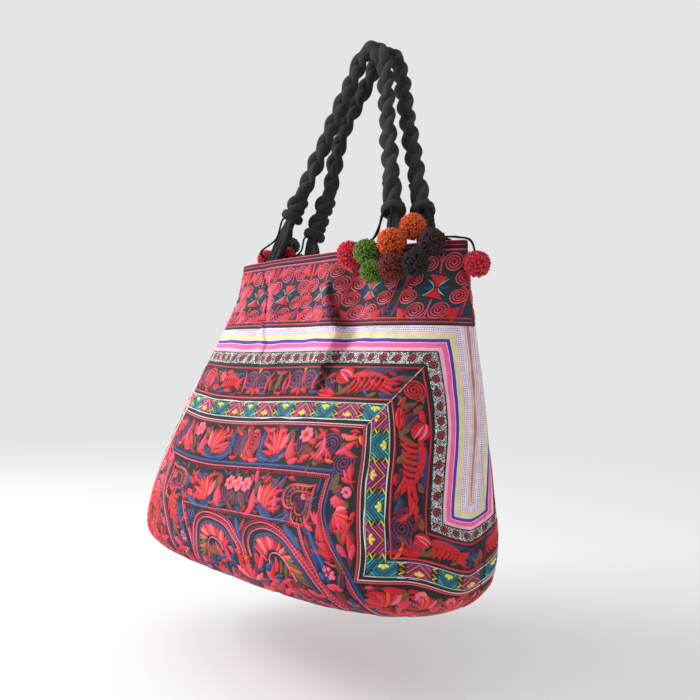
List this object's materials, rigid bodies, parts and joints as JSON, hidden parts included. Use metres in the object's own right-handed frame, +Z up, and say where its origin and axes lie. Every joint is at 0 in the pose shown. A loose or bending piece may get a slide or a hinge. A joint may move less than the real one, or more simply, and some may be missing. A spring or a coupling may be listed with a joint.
{
  "type": "embroidered tote bag",
  "caption": "Soft wide-based cloth tote bag with an embroidered top band and bordered main panel, plaited black handles knotted into the mouth and wool pompoms on cords.",
  "frame": {"origin": "the point under the bend of the handles where the bag hangs on a hook", "axes": "+Z up, +X to the right as seen from the front, front facing -Y"},
  "size_m": [0.473, 0.2585, 0.6501],
  "materials": {
    "top_cloth": "dark green cotton with raised red and pink embroidery",
    "panel_cloth": "black and navy cotton with embroidery and sewn-on ribbons",
    "binding_cloth": "navy cotton tape between pink stitched lines",
    "black_cotton": "soft matt black cotton jersey tube",
    "black_cord": "twisted black cotton cord",
    "red_wool": "clipped wool yarn",
    "green_wool": "clipped wool yarn",
    "dark_green_wool": "clipped wool yarn",
    "orange_wool": "clipped wool yarn",
    "brown_wool": "clipped wool yarn",
    "dark_wool": "clipped wool yarn"
  },
  "bodies": {
    "root": {"mouth_binding_front": "binding_cloth", "mouth_binding_back": "binding_cloth", "top_band_front": "top_cloth", "top_band_back": "top_cloth", "main_panel_front": "panel_cloth", "main_panel_back": "panel_cloth", "front_handle_strand_1": "black_cotton", "front_handle_strand_2": "black_cotton", "front_handle_strand_3": "black_cotton", "back_handle_strand_1": "black_cotton", "back_handle_strand_2": "black_cotton", "back_handle_strand_3": "black_cotton", "front_left_knot": "black_cotton", "front_right_knot": "black_cotton", "back_left_knot": "black_cotton", "back_right_knot": "black_cotton", "front_left_tail": "black_cotton", "front_right_tail": "black_cotton", "back_left_tail": "black_cotton", "back_right_tail": "black_cotton", "pompom_red_front": "red_wool", "pompom_green_front": "green_wool", "pompom_green_low": "green_wool", "pompom_orange_front": "orange_wool", "pompom_brown_low": "brown_wool", "pompom_orange_top": "orange_wool", "pompom_brown_front": "dark_wool", "pompom_black_low": "dark_wool", "pompom_red_end": "red_wool", "pompom_orange_back": "orange_wool", "pompom_red_mouth": "red_wool", "pompom_dark_green": "dark_green_wool", "pompom_red_left": "red_wool", "pompom_green_back": "green_wool", "cord_red_front": "black_cord", "cord_green_front": "black_cord", "cord_green_low": "black_cord", "cord_orange_front": "black_cord", "cord_brown_low": "black_cord", "cord_orange_top": "black_cord", "cord_brown_front": "black_cord", "cord_black_low": "black_cord", "cord_red_end": "black_cord", "cord_orange_back": "black_cord", "cord_red_mouth": "black_cord", "cord_dark_green": "black_cord", "cord_red_left": "black_cord", "cord_green_back": "black_cord"}
  },
  "joints": []
}
